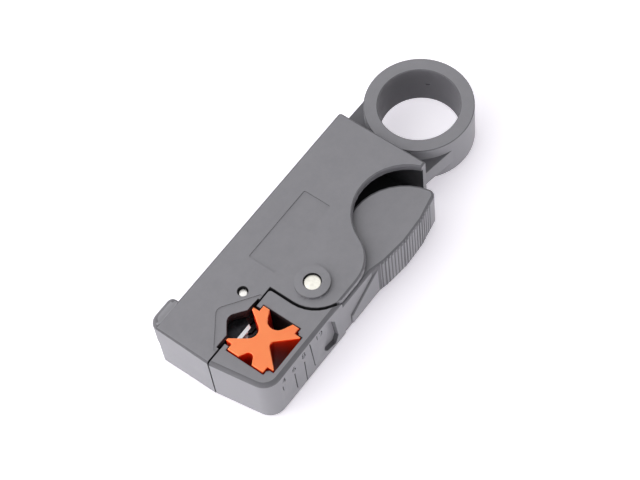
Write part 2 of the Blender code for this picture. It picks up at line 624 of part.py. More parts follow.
def cut_pocket(lever):
    """The block's pocket: keyed corners, a ledge under the block and a core beside it."""
    half = BLOCK_SIZE / 2 + FIT
    x0, x1 = BLOCK_C.x - half, BLOCK_C.x + half
    cut(lever, prism("block_pocket", pocket_outline(), LEDGE_HEIGHT, THICKNESS + CUT))
    floor_y = BLOCK_C.y - half + LEDGE_WIDTH
    floor = box_outline(x0 + LEDGE_WIDTH, x1 - LEDGE_WIDTH, floor_y, JAW_EDGE_Y + CUT)
    cut(lever, prism("pocket_floor", floor, -CUT, THICKNESS))
    between_keys = BLOCK_SIZE / 2 - BLOCK_KEY
    core = box_outline(x0 - JAW_CORE, x1 + JAW_CORE, BLOCK_C.y - between_keys, BLOCK_C.y + between_keys)
    cut(lever, prism("jaw_core", core, LEDGE_HEIGHT + JAW_SKIN, THICKNESS - JAW_SKIN))


def build_lever(grey):
    lever = prism("jaw_lever", jaw_blank(), 0.0, THICKNESS, grey, JAW_RIM, jaw_rim_is_soft)
    cut(lever, prism("heel_sweep", heel_sweep(), -CUT, THICKNESS + CUT))
    join(lever, prism("arm_form", arm_outline(), *INNER_Z, bevel=RIM_BEVEL, bevel_where=arm_rim_is_soft))
    join(lever, prism("lobe_form", lobe_outline(), *INNER_Z, bevel=RIM_BEVEL))
    join(lever, side_form("pad_form", pad_outline(), SIDE_Y - PAD_RISE, SIDE_Y + CUT, PAD_BEVEL))
    cut_pocket(lever)
    cut(lever, rod("pivot_bore", PIVOT.to_3d(), UP, 0.0, THICKNESS, RIVET_SHANK_R + FIT))
    cut(lever, rod("spring_pocket", PIVOT.to_3d(), UP, SPRING_LOW_Z - SPRING_WIRE_R - FIT, THICKNESS,
                   SPRING_R + SPRING_WIRE_R + FIT))
    turn = math.radians(LEVER_TURN_DEG)
    room = SPRING_WIRE_R + FIT
    lever_leg = wedge(SPRING_LEG + FIT, room, -turn, 0.0)
    cut(lever, prism("lever_leg_slot", lever_leg, SPRING_LOW_Z - room, THICKNESS))
    handle_leg = wedge(ARM_R + 2 * CUT, room, math.pi / 2 - turn, math.pi / 2)
    cut(lever, prism("handle_leg_slot", handle_leg, SPRING_TOP_Z - room, THICKNESS))
    cut(lever, rib_grooves())
    mark = [(HEEL_X + along, THICKNESS - drop) for along, drop in SIDE_MARK]
    cut(lever, side_form("side_mark", mark, SIDE_Y - CUT, SIDE_Y + SIDE_MARK_DEPTH))
    carry(lever, PIVOT.to_3d())
    return lever


def block_outline():
    """The cross: four V notches in a square whose corners are cut back for the pocket's keys."""
    half = BLOCK_SIZE / 2
    ways = [((0.0, 1.0), NOTCH_IN_USE), ((-1.0, 0.0), NOTCH_AT_JAW_END),
            ((0.0, -1.0), NOTCH_AT_SIDE), ((1.0, 0.0), NOTCH_AT_HEEL)]
    corners = []
    for out, notch in ways:
        out = Vector(out)
        along = Vector((out.y, -out.x))
        face = BLOCK_C + out * half
        reach = along * (half - BLOCK_KEY)
        corners.append((face + reach, 0.0))
        corners += notch_corners(notch, face, -out)
        corners += [(face - reach, 0.0), (face - reach - out * BLOCK_KEY, 0.0)]
    return rounded(corners)


def build_block(orange, lever):
    block = prism("v_block", block_outline(), LEDGE_HEIGHT + FIT, THICKNESS + BLOCK_PROUD, orange,
                  BLOCK_BEVEL, segments=1)
    carry(block, BLOCK_C.to_3d(), lever)


def blade_outline(reach):
    """A blade from above: its tongue through the notch, and the T slot for its screw in the back edge."""
    x = BLOCK_C.x
    left, right = CHAMBER_X[0] + FIT, CHAMBER_X[1] - FIT
    edge = PARTING_Y - reach
    front = RELIEF_Y + BLADE_TRAVEL + FIT
    back = BLADE_BACK_Y
    neck = SCREW_NECK_R + FIT
    button = SCREW_BUTTON_R + FIT
    prong = back - BLADE_PRONG
    floor = prong - SCREW_BUTTON_THICKNESS - 2 * FIT
    tip, root = BLADE_TIP_WIDTH / 2, BLADE_ROOT_WIDTH / 2
    tongue = [(left, front), (x - root, front), (x - tip, edge), (x + tip, edge), (x + root, front),
              (right, front)]
    slot = [(right, back), (x + neck, back), (x + neck, prong), (x + button, prong), (x + button, floor),
            (x - button, floor), (x - button, prong), (x - neck, prong), (x - neck, back), (left, back)]
    return [Vector(p) for p in tongue + slot]


def slot_outline(centre, radius, half_length):
    """A round-ended slot, long in Y."""
    side = Vector((radius, 0.0))
    points = []
    for way in (1.0, -1.0):
        middle = centre + INWARD * half_length * way
        tip = middle + INWARD * radius * way
        points += arc(middle, radius, middle + side * way, tip)
        points += arc(middle, radius, tip, middle - side * way)[1:]
    return points


def hone_cutter(name, edge, z, side):
    """A wedge that hones one face of a blade down to its edge."""
    half = BLADE_THICKNESS / 2
    wide = BLADE_ROOT_WIDTH
    profile = [(edge - CUT, z + side * BLADE_EDGE_LAND), (edge, z + side * BLADE_EDGE_LAND),
               (edge + BLADE_HONE, z + side * half), (edge + BLADE_HONE, z + side * (half + CUT)),
               (edge - CUT, z + side * (half + CUT))]
    mesh_data = bmesh.new()
    near = [mesh_data.verts.new((BLOCK_C.x - wide, y, h)) for y, h in profile]
    face = mesh_data.faces.new(near)
    raised = bmesh.ops.extrude_face_region(mesh_data, geom=[face])["geom"]
    far = [v for v in raised if isinstance(v, bmesh.types.BMVert)]
    bmesh.ops.translate(mesh_data, verts=far, vec=(2 * wide, 0, 0))
    return finish(name, mesh_data)


def build_blade(place, steel):
    z = BLADE_Z[place]
    edge = PARTING_Y - BLADE_REACH[place]
    half = BLADE_THICKNESS / 2
    blade = prism("blade_" + place, blade_outline(BLADE_REACH[place]), z - half, z + half, steel)
    cut(blade, prism("pin_slot_" + place, slot_outline(PIN_C, PIN_R + FIT, BLADE_TRAVEL), z - CUT, z + CUT))
    cut(blade, hone_cutter("hone_upper_" + place, edge, z, 1))
    cut(blade, hone_cutter("hone_lower_" + place, edge, z, -1))
    carry(blade, Vector((BLOCK_C.x, PARTING_Y, z)))
    return blade


def build_spacers(black):
    """Spacers fill the chamber above, below and between the blades, open where the screws reach in."""
    half = BLADE_THICKNESS / 2 + FIT
    levels = [INNER_Z[0]]
    for place in ("bottom", "middle", "top"):
        levels += [BLADE_Z[place] - half, BLADE_Z[place] + half]
    levels.append(INNER_Z[1])
    slot = SCREW_R + FIT
    slot_floor = BLADE_BACK_Y - BLADE_PRONG - SCREW_BUTTON_THICKNESS - 3 * FIT - BLADE_TRAVEL
    mouth = Vector((BLOCK_C.x, RELIEF_Y + FIT))
    plate = box_outline(CHAMBER_X[0] + FIT, CHAMBER_X[1] - FIT, RELIEF_Y + FIT, CHAMBER_Y - FIT)
    for i in range(len(levels) // 2):
        z0, z1 = levels[2 * i], levels[2 * i + 1]
        name = "blade_spacer_%d" % (i + 1)
        spacer = prism(name, plate, z0, z1, black)
        notch = notch_outline(CABLE_NOTCH, mouth, INWARD, CUT)
        cut(spacer, prism(name + "_notch", notch, z0 - CUT, z1 + CUT))
        cut(spacer, rod(name + "_hole", PIN_C.to_3d(), UP, z0 - CUT, z1 + CUT, PIN_R + FIT))
        tip_room = box_outline(BLOCK_C.x - slot, BLOCK_C.x + slot, slot_floor, CHAMBER_Y)
        cut(spacer, prism(name + "_slot", tip_room, z0 - CUT, z1 + CUT))


def build_screw(place, steel, blade):
    """A grub screw whose grooved tip holds the blade, with a hexagon socket in its outer end."""
    z = BLADE_Z[place]
    body_start = BLADE_BACK_Y + FIT
    neck_start = body_start - BLADE_PRONG - 2 * FIT
    tip = neck_start - SCREW_BUTTON_THICKNESS
    top = SPINE_Y - SCREW_RECESS
    at = Vector((BLOCK_C.x, 0.0, z))
    profile = [(SCREW_BUTTON_R, tip), (SCREW_BUTTON_R, neck_start), (SCREW_NECK_R, neck_start),
               (SCREW_NECK_R, body_start), (SCREW_R, body_start), (SCREW_R, top - SCREW_CHAMFER),
               (SCREW_R - SCREW_CHAMFER, top)]
    screw = turned("set_screw_" + place, at, ALONG_Y, profile, steel, 24)
    corner_r = SOCKET_ACROSS / math.sqrt(3.0)
    cut(screw, rod("socket_" + place, at, ALONG_Y, top - SOCKET_DEPTH, top + CUT, corner_r, count=6))
    carry(screw, Vector((BLOCK_C.x, PARTING_Y, z)), blade)


def build_nut_plate(brass):
    nut = prism("nut_plate", nut_outline(0.0, 0.0), *INNER_Z, brass)
    for place, z in BLADE_Z.items():
        cut(nut, rod("tapped_hole_" + place, Vector((BLOCK_C.x, 0.0, z)), ALONG_Y, CHAMBER_Y - CUT, SPINE_Y,
                     SCREW_R + FIT, count=24))


def build_rivet(steel):
    low = FIT
    high = THICKNESS + PIVOT_BOSS_RISE - FIT
    rim = RIVET_HEAD_R - PIN_CHAMFER
    profile = [(rim, low), (RIVET_HEAD_R, low + PIN_CHAMFER), (RIVET_HEAD_R, low + RIVET_HEAD_THICKNESS),
               (RIVET_SHANK_R, low + RIVET_HEAD_THICKNESS), (RIVET_SHANK_R, high - RIVET_HEAD_THICKNESS),
               (RIVET_HEAD_R, high - RIVET_HEAD_THICKNESS), (RIVET_HEAD_R, high - PIN_CHAMFER), (rim, high)]
    turned("pivot_rivet", PIVOT.to_3d(), UP, profile, steel)


def build_pin(steel):
    low, high = PIN_RECESS, THICKNESS - PIN_RECESS
    profile = [(PIN_R - PIN_CHAMFER, low), (PIN_R, low + PIN_CHAMFER), (PIN_R, high - PIN_CHAMFER),
               (PIN_R - PIN_CHAMFER, high)]
    turned("blade_pin", PIN_C.to_3d(), UP, profile, steel)


def build_spring(steel):
    """Three and a quarter turns round the rivet, with one leg in the lever and one in the handle."""
    count = round(SPRING_TURNS * SPRING_SIDES)
    path = [Vector((SPRING_LEG, 0.0, SPRING_LOW_Z))]
    for i in range(count + 1):
        angle = 2 * math.pi * SPRING_TURNS * i / count
        height = SPRING_LOW_Z + SPRING_TURNS * SPRING_PITCH * i / count
        path.append(Vector((SPRING_R * math.cos(angle), SPRING_R * math.sin(angle), height)))
    path.append(Vector((0.0, SPRING_HANDLE_LEG, SPRING_TOP_Z)))
    curve = bpy.data.curves.new("return_spring", "CURVE")
    curve.dimensions = "3D"
    curve.bevel_depth = SPRING_WIRE_R
    curve.bevel_resolution = 1
    curve.use_fill_caps = True
    line = curve.splines.new("POLY")
    line.points.add(len(path) - 1)
    for point, at in zip(line.points, path):
        point.co = (PIVOT.x + at.x, PIVOT.y + at.y, at.z, 1.0)
    spring = bpy.data.objects.new("return_spring", curve)
    bpy.context.scene.collection.objects.link(spring)
    spring.parent = TOOL
    curve.materials.append(steel)


TOOL = bpy.data.objects.new("stripper", None)
bpy.context.scene.collection.objects.link(TOOL)
TOOL.location = ORIGIN_SHIFT

body_grey = material("grey_moulded_plastic", (0.235, 0.235, 0.250), 0.5)
lever_grey = material("grey_lever_plastic", (0.245, 0.245, 0.260), 0.5)
block_orange = material("orange_plastic", (0.95, 0.22, 0.06), 0.45)
bright_steel = material("bright_steel", (0.78, 0.76, 0.72), 0.3, 1.0)
blade_steel = material("blade_steel", (0.62, 0.63, 0.65), 0.2, 1.0)
screw_steel = material("black_screw_steel", (0.08, 0.08, 0.09), 0.4, 1.0)
spring_steel = material("spring_steel", (0.55, 0.55, 0.56), 0.3, 1.0)
nut_brass = material("brass", (0.78, 0.60, 0.28), 0.35, 1.0)
spacer_black = material("black_plastic", (0.02, 0.02, 0.022), 0.55)

build_handle(body_grey)
jaw_lever = build_lever(lever_grey)
build_block(block_orange, jaw_lever)
for level in BLADE_Z:
    build_screw(level, screw_steel, build_blade(level, blade_steel))
build_spacers(spacer_black)
build_nut_plate(nut_brass)
build_rivet(bright_steel)
build_pin(bright_steel)
build_spring(spring_steel)
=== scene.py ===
import itertools
import json
import math

import bmesh
import bpy
from mathutils import Matrix, Vector
from mathutils.bvhtree import BVHTree


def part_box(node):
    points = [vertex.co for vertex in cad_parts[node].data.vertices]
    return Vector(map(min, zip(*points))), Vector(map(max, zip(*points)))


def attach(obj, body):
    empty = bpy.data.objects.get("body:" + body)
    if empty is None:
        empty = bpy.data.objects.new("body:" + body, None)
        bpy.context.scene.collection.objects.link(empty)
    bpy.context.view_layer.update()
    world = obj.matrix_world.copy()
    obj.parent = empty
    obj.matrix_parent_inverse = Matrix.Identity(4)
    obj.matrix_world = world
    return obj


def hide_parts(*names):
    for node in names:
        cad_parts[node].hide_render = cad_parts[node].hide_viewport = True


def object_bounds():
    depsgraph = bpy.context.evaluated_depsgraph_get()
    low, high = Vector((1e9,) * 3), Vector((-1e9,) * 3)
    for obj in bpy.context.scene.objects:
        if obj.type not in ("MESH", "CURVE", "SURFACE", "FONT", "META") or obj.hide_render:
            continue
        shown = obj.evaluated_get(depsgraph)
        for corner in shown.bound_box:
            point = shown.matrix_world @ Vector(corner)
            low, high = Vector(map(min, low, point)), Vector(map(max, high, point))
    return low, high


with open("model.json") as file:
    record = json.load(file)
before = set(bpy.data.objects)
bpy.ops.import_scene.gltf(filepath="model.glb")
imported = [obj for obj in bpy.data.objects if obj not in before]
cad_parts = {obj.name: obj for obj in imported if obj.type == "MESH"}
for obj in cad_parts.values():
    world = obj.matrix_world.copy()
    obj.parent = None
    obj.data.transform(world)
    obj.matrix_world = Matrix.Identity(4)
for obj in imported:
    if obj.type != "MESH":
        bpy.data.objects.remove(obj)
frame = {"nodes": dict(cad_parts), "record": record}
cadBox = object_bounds()
print("frame loaded,", len(frame["nodes"]), "nodes")

mm = 0.001
mergeDist = 0.001 * mm      # points nearer than this are one
white = (1.0, 1.0, 1.0, 1.0)
scene = bpy.context.scene


# Colours and nodes

def hexColor(code):
    parts = [int(code[i:i + 2], 16) / 255 for i in (1, 3, 5)]
    linear = [p / 12.92 if p <= 0.04045 else ((p + 0.055) / 1.055) ** 2.4 for p in parts]
    return (*linear, 1.0)


def dimmed(color, share):
    return (*(c * share for c in color[:3]), 1.0)


def scaleFor(sizeMm):
    # the Scale that gives a texture on Object coordinates features of about this size
    return 1 / (sizeMm * mm)


def addNode(tree, kind, settings=None, links=None):
    # a setting goes to the node if it has one by that name, and else to the socket by that name or number;
    # stops are a colour ramp's two (place, colour) pairs
    node = tree.nodes.new(kind)
    for key, value in (settings or {}).items():
        if key == "stops":
            for entry, (at, color) in zip(node.color_ramp.elements, value):
                entry.position = at
                entry.color = color
        elif isinstance(key, str) and hasattr(node, key):
            setattr(node, key, value)
        else:
            node.inputs[key].default_value = value
    for key, source in (links or {}).items():
        tree.links.new(source, node.inputs[key])
    return node


def newMaterial(name, shader):
    made = bpy.data.materials.new(name)
    made.use_nodes = True
    tree = made.node_tree
    tree.nodes.clear()
    surface = addNode(tree, "ShaderNodeBsdfPrincipled", shader)
    addNode(tree, "ShaderNodeOutputMaterial", links={"Surface": surface.outputs["BSDF"]})
    place = addNode(tree, "ShaderNodeTexCoord").outputs["Object"]
    return made, tree, surface, place


def finishSurface(tree, surface, color, shine, roughness, spread, layers, shineRange=(0.0, 1.0)):
    # the colour, a roughness that the shine pattern spreads about its usual value, and bumps laid one on the
    # other; a layer of them is its (height, depth in mm, strength)
    tree.links.new(color, surface.inputs["Base Color"])
    gloss = addNode(tree, "ShaderNodeMapRange", {
        "From Min": shineRange[0], "From Max": shineRange[1],
        "To Min": roughness + spread[0], "To Max": roughness + spread[1]}, {"Value": shine})
    tree.links.new(gloss.outputs["Result"], surface.inputs["Roughness"])
    under = {}
    for height, depthMm, strength in layers:
        bump = addNode(tree, "ShaderNodeBump", {"Distance": depthMm * mm, "Strength": strength},
                       {"Height": height, **under})
        under = {"Normal": bump.outputs["Normal"]}
    tree.links.new(under["Normal"], surface.inputs["Normal"])


# ABS, injection moulded in a spark-eroded tool: matt and even, a fine pebble grain, slow gloss changes
absSkin = {"ior": 1.53, "spread": (-0.05, 0.07),
           "flowMm": 14.0, "flowDeepMm": 0.10,      # slow cloudiness from the way the plastic flowed
           "grainMm": 0.42, "grainDeepMm": 0.02,    # really about 0.1 mm, drawn coarser so that it shows
           "dustMm": 2.6, "dustDim": 0.94}


def mouldedAbs(name, tone, deep, roughness):
    made, tree, surface, place = newMaterial(name, {"Roughness": roughness, "IOR": absSkin["ior"]})
    flow = addNode(tree, "ShaderNodeTexNoise", {
        "Scale": scaleFor(absSkin["flowMm"]), "Detail": 3.0, "Roughness": 0.55}, {"Vector": place})
    grain = addNode(tree, "ShaderNodeTexNoise", {
        "Scale": scaleFor(absSkin["grainMm"]), "Detail": 2.0, "Roughness": 0.6}, {"Vector": place})
    dust = addNode(tree, "ShaderNodeTexNoise", {
        "Scale": scaleFor(absSkin["dustMm"]), "Detail": 6.0, "Roughness": 0.7}, {"Vector": place})
    cloud = addNode(tree, "ShaderNodeValToRGB", {"stops": [(0.30, hexColor(deep)), (0.70, hexColor(tone))]},
                    {"Fac": flow.outputs["Fac"]})
    speck = addNode(tree, "ShaderNodeValToRGB", {"stops": [(0.36, dimmed(white, absSkin["dustDim"])),
                                                           (0.62, white)]}, {"Fac": dust.outputs["Fac"]})
    color = addNode(tree, "ShaderNodeMix", {"data_type": "RGBA", "blend_type": "MULTIPLY", 0: 1.0},
                    {6: cloud.outputs["Color"], 7: speck.outputs["Color"]})
    layers = [(flow.outputs["Fac"], absSkin["flowDeepMm"], 0.25),
              (grain.outputs["Fac"], absSkin["grainDeepMm"], 0.55)]
    finishSurface(tree, surface, color.outputs[2], dust.outputs["Fac"], roughness, absSkin["spread"], layers,
                  shineRange=(0.3, 0.7))
    return made


# Polypropylene, injection moulded and coloured through: satin, waxy, light goes a little way in
ppSkin = {"ior": 1.49, "roughness": 0.42, "spread": (-0.06, 0.08),
          "flowMm": 5.0, "flowDeepMm": 0.06,
          "grainMm": 0.5, "grainDeepMm": 0.015,     # coarser than the real grain so that it shows
          "glowWeight": 0.12, "glowReach": (1.0, 0.35, 0.12), "glowMm": 0.6}     # red goes in furthest


def mouldedPp(name, tone, deep, specular):
    made, tree, surface, place = newMaterial(name, {
        "Roughness": ppSkin["roughness"], "IOR": ppSkin["ior"], "Specular IOR Level": specular,
        "Subsurface Weight": ppSkin["glowWeight"], "Subsurface Radius": ppSkin["glowReach"],
        "Subsurface Scale": ppSkin["glowMm"] * mm})
    flow = addNode(tree, "ShaderNodeTexNoise", {"Scale": scaleFor(ppSkin["flowMm"]), "Detail": 4.0},
                   {"Vector": place})
    grain = addNode(tree, "ShaderNodeTexNoise", {"Scale": scaleFor(ppSkin["grainMm"]), "Detail": 2.0},
                    {"Vector": place})
    color = addNode(tree, "ShaderNodeValToRGB", {"stops": [(0.32, hexColor(deep)), (0.68, hexColor(tone))]},
                    {"Fac": flow.outputs["Fac"]})
    layers = [(flow.outputs["Fac"], ppSkin["flowDeepMm"], 0.3),
              (grain.outputs["Fac"], ppSkin["grainDeepMm"], 0.5)]
    finishSurface(tree, surface, color.outputs["Color"], flow.outputs["Fac"], ppSkin["roughness"],
                  ppSkin["spread"], layers)
    return made


# Steel faced on a lathe: fine rings about its own axis, bright, a little stained
latheSkin = {"roughness": 0.3, "spread": (-0.06, 0.14),
             "waveStepM": 0.31,     # from ring to ring of a wave texture at scale 1
             "ringDeepMm": 0.006, "stainMm": 1.2, "stainDim": 0.86}


def turnedSteel(name, tone, centre, ringMm):
    made, tree, surface, place = newMaterial(name, {"Metallic": 1.0, "Roughness": latheSkin["roughness"]})
    local = addNode(tree, "ShaderNodeMapping", {"Location": tuple(-c for c in centre)}, {"Vector": place})
    rings = addNode(tree, "ShaderNodeTexWave", {
        "wave_type": "RINGS", "rings_direction": "Z", "Scale": latheSkin["waveStepM"] * scaleFor(ringMm),
        "Distortion": 0.3, "Detail": 2.0}, {"Vector": local.outputs["Vector"]})
    stain = addNode(tree, "ShaderNodeTexNoise", {"Scale": scaleFor(latheSkin["stainMm"]), "Detail": 6.0},
                    {"Vector": place})
    base = hexColor(tone)
    color = addNode(tree, "ShaderNodeValToRGB", {"stops": [(0.35, dimmed(base, latheSkin["stainDim"])),
                                                           (0.6, base)]}, {"Fac": stain.outputs["Fac"]})
    finishSurface(tree, surface, color.outputs["Color"], stain.outputs["Fac"], latheSkin["roughness"],
                  latheSkin["spread"], [(rings.outputs["Fac"], latheSkin["ringDeepMm"], 0.6)])
    return made


# Tool steel, surface ground: close straight lines along Y, cool and bright
groundSkin = {"roughness": 0.25, "spread": (-0.09, 0.11),
              "lineMm": 0.12, "lineLongMm": 9.0, "lineDeepMm": 0.008, "lineDim": 0.8}


def groundSteel(name, tone):
    made, tree, surface, place = newMaterial(name, {"Metallic": 1.0, "Roughness": groundSkin["roughness"]})
    across, along = scaleFor(groundSkin["lineMm"]), scaleFor(groundSkin["lineLongMm"])
    lengthen = addNode(tree, "ShaderNodeMapping", {"Scale": (across, along, across)}, {"Vector": place})
    lines = addNode(tree, "ShaderNodeTexNoise", {"Scale": 1.0, "Detail": 3.0, "Roughness": 0.7},
                    {"Vector": lengthen.outputs["Vector"]})
    base = hexColor(tone)
    color = addNode(tree, "ShaderNodeValToRGB", {"stops": [(0.3, dimmed(base, groundSkin["lineDim"])),
                                                           (0.7, base)]}, {"Fac": lines.outputs["Fac"]})
    finishSurface(tree, surface, color.outputs["Color"], lines.outputs["Fac"], groundSkin["roughness"],
                  groundSkin["spread"], [(lines.outputs["Fac"], groundSkin["lineDeepMm"], 0.5)])
    return made


# Any metal left as drawn, blued or blackened: a mottled skin over fine pits
metalSkin = {"spread": (-0.08, 0.12), "mottleDeepMm": 0.02, "pitMm": 0.3, "pitDeepMm": 0.006}


def skinnedMetal(name, cfg):
    made, tree, surface, place = newMaterial(name, {"Metallic": 1.0, "Roughness": cfg["roughness"]})
    mottle = addNode(tree, "ShaderNodeTexNoise", {
        "Scale": scaleFor(cfg["mottleMm"]), "Detail": 7.0, "Roughness": 0.65}, {"Vector": place})
    pits = addNode(tree, "ShaderNodeTexVoronoi", {"Scale": scaleFor(metalSkin["pitMm"])}, {"Vector": place})
    color = addNode(tree, "ShaderNodeValToRGB", {"stops": [(0.35, hexColor(cfg["deep"])),
                                                           (0.65, hexColor(cfg["tone"]))]},
                    {"Fac": mottle.outputs["Fac"]})
    layers = [(mottle.outputs["Fac"], metalSkin["mottleDeepMm"], 0.3),
              (pits.outputs["Distance"], metalSkin["pitDeepMm"], 0.4)]
    finishSurface(tree, surface, color.outputs["Color"], mottle.outputs["Fac"], cfg["roughness"],
                  metalSkin["spread"], layers)
    return made


# Shapes

wallLimit = 0.3     # a face whose normal's Z is under this is a wall
flatLimit = 0.9     # and one whose normal's Z is over this lies flat


def isWall(face):
    return abs(face.normal.z) < wallLimit


def boxMiddle(node):
    low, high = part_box(node)
    return (low + high) / 2


def openingBox(name):
    # the lowest and highest corners of an opening that the record states
    box = next(o["box_m"] for o in frame["record"]["physics"]["openings"] if o["name"] == name)
    return Vector(box[0]), Vector(box[1])


def cadCopy(node):
    # a CAD node's loose triangles, merged and with its flat faces whole again
    flatDeg = 0.5
    bm = bmesh.new()
    bm.from_mesh(frame["nodes"][node].data)
    bmesh.ops.remove_doubles(bm, verts=bm.verts, dist=2 * mergeDist)
    bmesh.ops.dissolve_limit(bm, angle_limit=math.radians(flatDeg), use_dissolve_boundaries=False,
                             verts=bm.verts, edges=bm.edges, delimit=set())
    return bm


def softenEdges(bm, width, segments, sharpDeg, keep=lambda edge: True):
    # rounds the long sharp edges that keep() lets through, but none of a step too low to hold the round
    leastFace, leastEdge = 2.2, 7       # least width of a face and length of an edge, in widths of the round

    def holdsRound(edge):
        return all(f.calc_area() > leastFace * width * edge.calc_length() for f in edge.link_faces)

    sharp = [e for e in bm.edges if e.is_manifold and e.calc_length() > leastEdge * width
             and e.calc_face_angle() > math.radians(sharpDeg) and keep(e) and holdsRound(e)]
    bmesh.ops.bevel(bm, geom=sharp, offset=width, offset_type="OFFSET", segments=segments, profile=0.5,
                    affect="EDGES", material=-1, clamp_overlap=False)


def carve(bm, cutter):
    # takes the cutter's shape out of a piece and gives the rest back as a new bmesh
    objects = []
    for shape in (bm, cutter):
        mesh = bpy.data.meshes.new("carving")
        shape.to_mesh(mesh)
        shape.free()
        objects.append(bpy.data.objects.new("carving", mesh))
        scene.collection.objects.link(objects[-1])
    cut = objects[0].modifiers.new("cut", "BOOLEAN")
    cut.object = objects[1]
    cut.operation = "DIFFERENCE"
    cut.solver = "EXACT"
    carved = objects[0].evaluated_get(bpy.context.evaluated_depsgraph_get())
    rest = bmesh.new()
    rest.from_mesh(carved.data)
    for obj in objects:
        bpy.data.objects.remove(obj, do_unlink=True)
    slits = [e for e in rest.edges if e.is_boundary]      # hair-thin ones, where rounds and cuts meet
    bmesh.ops.holes_fill(rest, edges=slits, sides=0)
    return rest


def hollowFaces(bm, trees, share, reach):
    # the faces in a hollow: at least this share of the ways out of them is blocked within this reach
    lift, grazing = 0.1 * mm, 0.2       # a ray's start above the face, and the flattest way out that counts
    ways = [Vector(w).normalized() for w in itertools.product((-1, 0, 1), repeat=3) if any(w)]
    deep = []
    for face in bm.faces:
        start = face.calc_center_median() + face.normal * lift
        out = [w for w in ways if w.dot(face.normal) > grazing]
        blocked = sum(any(tree.ray_cast(start, w, reach)[0] for tree in trees) for w in out)
        if blocked >= share * len(out):
            deep.append(face)
    return deep


def addPiece(name, bm, looks, body, node, smoothDeg=40.0):
    mesh = bpy.data.meshes.new(name)
    bm.to_mesh(mesh)
    bm.free()
    for look in looks:
        mesh.materials.append(look)
    mesh.shade_smooth()
    mesh.set_sharp_from_angle(angle=math.radians(smoothDeg))
    piece = bpy.data.objects.new(name, mesh)
    scene.collection.objects.link(piece)
    weighted = piece.modifiers.new("weighted_normals", "WEIGHTED_NORMAL")
    weighted.keep_sharp = True      # flats shade flat beside round rims
    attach(piece, body)
    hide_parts(node)


# Handle and lever: their shared look, then each by itself

sharedLook = {"hollowShadeTone": "#26262A", "hollowShadeDeep": "#1C1C20", "insideRoughness": 0.7,
              "insideShare": 0.65, "insideReachMm": 50.0,
              "rimShadeTone": "#616065", "rimShadeDeep": "#5C5B60", "rimRoughness": 0.5,
              "rimTilt": (0.25, 0.95), "grooveReachMm": 1.0}

# painted shade: ABS deep inside, where hardly any light comes in, coloured close to black to stand in for
# that shade; no sheen
hollowShadePlastic = mouldedAbs("grey_abs_painted_hollow_shade", sharedLook["hollowShadeTone"], sharedLook["hollowShadeDeep"],
                           sharedLook["insideRoughness"])
# painted shade: ABS on rims, in grooves and on shaded walls coloured darker, standing in for the shade that
# falls there
rimShadePlastic = mouldedAbs("grey_abs_painted_rim_shade", sharedLook["rimShadeTone"], sharedLook["rimShadeDeep"],
                        sharedLook["rimRoughness"])

# what can shade a hollow; the two mouldings take their carved shapes' place in it as they are made
toolTrees = {node: BVHTree.FromBMesh(cadCopy(node)) for node in ("main_body", "jaw_lever", "v_block")}


# the faces that get the painted hollow shade
def paintedShadeFaces(bm):
    return hollowFaces(bm, toolTrees.values(), sharedLook["insideShare"], sharedLook["insideReachMm"] * mm)


def paintRimShade(bm, grooveShare):
    # painted shade: the rounded rims and the grooves of ribs and scale take the darker rim colour
    least, most = sharedLook["rimTilt"]
    for face in bm.faces:
        if least < abs(face.normal.z) < most:
            face.material_index = 2
    for face in hollowFaces(bm, [BVHTree.FromBMesh(bm)], grooveShare, sharedLook["grooveReachMm"] * mm):
        if abs(face.normal.z) < flatLimit:
            face.material_index = 2


handleLook = {"tone": "#87868B", "deep": "#838287", "roughness": 0.46, "grooveShare": 0.3,
              "edgeMm": 0.12, "segments": 2, "sharpDeg": 50,
              "endRimMm": 0.75, "endRimSegments": 4, "endWithinMm": 0.2,
              "flatTopMm": 17.0, "recessDepthMm": 0.3, "webTopMm": 14.0,
              "pivotBossMm": (2.8, 4.6),            # the pivot boss's wall lies between these radii
              "roomReachMm": (4.0, 14.0, 2.0),      # painted shade on edges reaches this far left, in front, behind
              "bossRiseMm": 2.9, "bossDropMm": 1.0, "bossFromMm": 12.0, "bossCuts": 8,
              "ringTopMm": 14.95, "boreMm": 10.5, "boreReachMm": 10.7,
              "gateMarkMm": (0.95, 0.5, 0.35), "gateMarkTurnDeg": 24.0, "gateMarkDropMm": 6.3}


